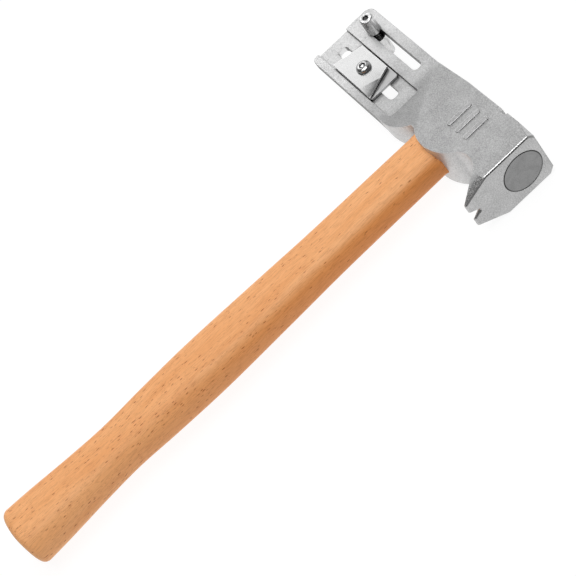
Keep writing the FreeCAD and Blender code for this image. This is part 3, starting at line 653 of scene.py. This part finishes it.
def grip_rings(top, butt):
    """Rings of (radii, height) from the head down, round the butt's rim and in across its dome."""
    angles = [number * math.tau / RING_POINTS for number in range(RING_POINTS)]
    rings = []

    def dome(radius):
        return butt + DOME_RADIUS - math.sqrt(DOME_RADIUS ** 2 - radius ** 2)

    last = [grip_radius(angle, -butt / MM - 2.0) for angle in angles]
    edges = [dome(radius - BUTT_ROUND) + BUTT_ROUND for radius in last]
    for station in range(GRIP_STATIONS + 1):
        share = station / GRIP_STATIONS
        heights = [top + (edge - top) * share for edge in edges]
        radii = [grip_radius(angle, -height / MM) for angle, height in zip(angles, heights)]
        rings.append((radii, heights))
    rim = rings[-1][0]
    for step in range(1, BUTT_STEPS + 1):
        turn = step / BUTT_STEPS * math.pi / 2
        radii = [radius - BUTT_ROUND * (1.0 - math.cos(turn)) for radius in rim]
        heights = [dome(radius - BUTT_ROUND) + BUTT_ROUND * (1.0 - math.sin(turn)) for radius in rim]
        rings.append((radii, heights))
    for ring in range(1, DOME_RINGS):
        share = 1.0 - ring / DOME_RINGS
        radii = [(radius - BUTT_ROUND) * share for radius in rim]
        rings.append((radii, [dome(radius) for radius in radii]))
    return angles, rings


def make_handle(materials):
    """Beech handle: octagonal tenon seen in the eye, eased octagonal grip and domed butt."""
    low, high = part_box("handle")
    axis_x = (low.x + high.x) / 2
    angles, rings = grip_rings(GRIP_TOP, low.y)
    mesh = bmesh.new()
    loops = []
    for radii, heights in rings:
        loops.append([
            mesh.verts.new((axis_x + radius * math.cos(angle), height, radius * math.sin(angle)))
            for angle, radius, height in zip(angles, radii, heights)])
    join_loops(mesh, loops)
    middle = mesh.verts.new((axis_x, low.y, 0.0))
    for number in range(RING_POINTS):
        mesh.faces.new((loops[-1][number], loops[-1][(number + 1) % RING_POINTS], middle))
    add_tenon(mesh, angles, loops[0], axis_x, high.y - WEDGES_PROUD)
    bmesh.ops.recalc_face_normals(mesh, faces=mesh.faces)
    own_piece(mesh, "handle_grip", "handle", "head", materials)


def add_tenon(mesh, angles, shoulder, axis_x, top):
    """Tenon from the grip's shoulder up to the top of the eye, just below its wedges' ends."""
    def loop(inset, height):
        radii = [octagon_radius(angle, *TENON, TENON_POWER) - inset for angle in angles]
        return [
            mesh.verts.new((axis_x + radius * math.cos(angle), height, radius * math.sin(angle)))
            for angle, radius in zip(angles, radii)]

    foot = loop(0.0, shoulder[0].co.y + SHOULDER_RISE)
    rim = loop(0.0, top - TENON_EDGE)
    upper = loop(TENON_EDGE, top)
    join_loops(mesh, (shoulder, foot, rim, upper))
    mesh.faces.new(upper)


# ---------------------------------------------------------------- own threaded pieces

ROD_POINTS = 36
THREAD_STEPS = 8           # rows of the mesh in one turn of thread
THREAD_DEPTH = 0.45 * MM
STUD_PITCH = 0.9 * MM
SCREW_PITCH = 0.8 * MM
SOCKET_WIDTH = 3.6 * MM
SOCKET_DEPTH = 1.8 * MM
SCREW_HEAD_HEIGHT = 2.7 * MM
SCREW_RADIUS = 2.5 * MM
SCREW_RIM = 0.45 * MM      # height of the head's upright rim
SCREW_EDGE = 0.15 * MM     # chamfer under the rim and round the socket's mouth
SCREW_CROWN = 0.47         # share of the head's radius that is flat on top
SCREW_DOME_STEPS = 10
SCREW_RUNOUT = 1.0 * MM    # plain shank between the thread and the head
SOCKET_EASE = 0.05 * MM
SOCKET_CONE = 0.5 * MM
SCREW_SHARP_ANGLE = math.radians(38.0)


def join_loops(mesh, loops):
    """Faces between each loop of points and the next."""
    count = len(loops[0])
    for upper, lower in zip(loops, loops[1:]):
        for number in range(count):
            after = (number + 1) % count
            mesh.faces.new((upper[number], upper[after], lower[after], lower[number]))


def own_piece(mesh, name, replaced, body, materials):
    """Turn a finished mesh into a smooth piece that rides a body and stands for a CAD node."""
    for face in mesh.faces:
        face.smooth = True
    data = bpy.data.meshes.new(name)
    mesh.to_mesh(data)
    mesh.free()
    piece = bpy.data.objects.new(name, data)
    bpy.context.scene.collection.objects.link(piece)
    slot = slot_of(replaced)
    data.materials.append(materials[slot])
    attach(piece, body)
    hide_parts(replaced)
    return piece


def ring(mesh, centre, radius_at, height):
    """Loop of points round a vertical axis, its radius a function of the angle."""
    loop = []
    for number in range(ROD_POINTS):
        angle = number * math.tau / ROD_POINTS
        radius = radius_at(angle)
        loop.append(mesh.verts.new((
            centre.x + radius * math.cos(angle), centre.y + radius * math.sin(angle), height)))
    return loop


def thread_rings(mesh, centre, radius, pitch, low, high):
    """Rings of a helical thread: the ridge climbs by one pitch in each turn."""
    rows = round((high - low) / pitch * THREAD_STEPS)
    loops = []
    for row in range(rows + 1):
        height = low + (high - low) * row / rows
        ease = min(1.0, min(height - low, high - height) / pitch)

        def radius_at(angle):
            phase = (height / pitch - angle / math.tau) % 1.0
            ridge = min(1.0, abs(2.0 * phase - 1.0) * 1.25)
            return radius - THREAD_DEPTH * (1.0 - ridge * ease)

        loops.append(ring(mesh, centre, radius_at, height))
    return loops


def hexagon_radius(width):
    """Distance from a hexagon's centre to its outline at an angle, from its width across flats."""
    def radius_at(angle):
        return width / 2 / math.cos((angle + math.pi / 6) % (math.pi / 3) - math.pi / 6)
    return radius_at


def round_radius(radius):
    return lambda angle: radius


def make_stud(materials):
    """Threaded stud through the gauge slot, seen between the posts."""
    low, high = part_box("gauge_stud")
    centre = (low + high) / 2
    mesh = bmesh.new()
    loops = thread_rings(mesh, centre, (high.x - low.x) / 2, STUD_PITCH, low.z, high.z)
    join_loops(mesh, loops)
    mesh.faces.new(loops[0])
    mesh.faces.new(loops[-1])
    bmesh.ops.recalc_face_normals(mesh, faces=mesh.faces)
    own_piece(mesh, "stud_thread", "gauge_stud", "gauge", materials)


def make_screw(materials):
    """Button-head screw: threaded shank, smooth dome and a hex socket with a conical floor."""
    low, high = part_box("clamp_screw")
    centre = (low + high) / 2
    edge = (high.x - low.x) / 2
    seat = high.z - SCREW_HEAD_HEIGHT
    mesh = bmesh.new()
    loops = thread_rings(mesh, centre, SCREW_RADIUS, SCREW_PITCH, low.z, seat - SCREW_RUNOUT)
    tip = loops[0]
    loops.append(ring(mesh, centre, round_radius(SCREW_RADIUS), seat))
    loops.append(ring(mesh, centre, round_radius(edge - SCREW_EDGE), seat))
    loops.append(ring(mesh, centre, round_radius(edge), seat + SCREW_EDGE))
    loops.append(ring(mesh, centre, round_radius(edge), seat + SCREW_RIM))
    crown = edge * SCREW_CROWN
    rise = SCREW_HEAD_HEIGHT - SCREW_RIM
    for step in range(1, SCREW_DOME_STEPS + 1):
        turn = step / SCREW_DOME_STEPS * math.pi / 2
        radius = crown + (edge - crown) * math.cos(turn)
        loops.append(ring(mesh, centre, round_radius(radius), seat + SCREW_RIM + rise * math.sin(turn)))
    wide = hexagon_radius(SOCKET_WIDTH + 2 * SCREW_EDGE)
    narrow = hexagon_radius(SOCKET_WIDTH)
    loops.append(ring(mesh, centre, wide, high.z))
    loops.append(ring(mesh, centre, narrow, high.z - SCREW_EDGE))
    loops.append(ring(mesh, centre, narrow, high.z - SOCKET_DEPTH + SOCKET_EASE))
    loops.append(ring(mesh, centre, hexagon_radius(SOCKET_WIDTH - 2 * SOCKET_EASE), high.z - SOCKET_DEPTH))
    join_loops(mesh, loops)
    mesh.faces.new(tip)
    floor = mesh.verts.new((centre.x, centre.y, high.z - SOCKET_DEPTH - SOCKET_CONE))
    for number in range(ROD_POINTS):
        mesh.faces.new((loops[-1][number], loops[-1][(number + 1) % ROD_POINTS], floor))
    bmesh.ops.recalc_face_normals(mesh, faces=mesh.faces)
    piece = own_piece(mesh, "screw_body", "clamp_screw", "screw", materials)
    piece.data.set_sharp_from_angle(angle=SCREW_SHARP_ANGLE)


# ---------------------------------------------------------------- build

bpy.context.scene.view_settings.view_transform = "Standard"
add_camera()
add_floor()
add_lights()
finishes = make_materials()
dress_nodes(finishes)
make_handle(finishes)
make_stud(finishes)
make_screw(finishes)
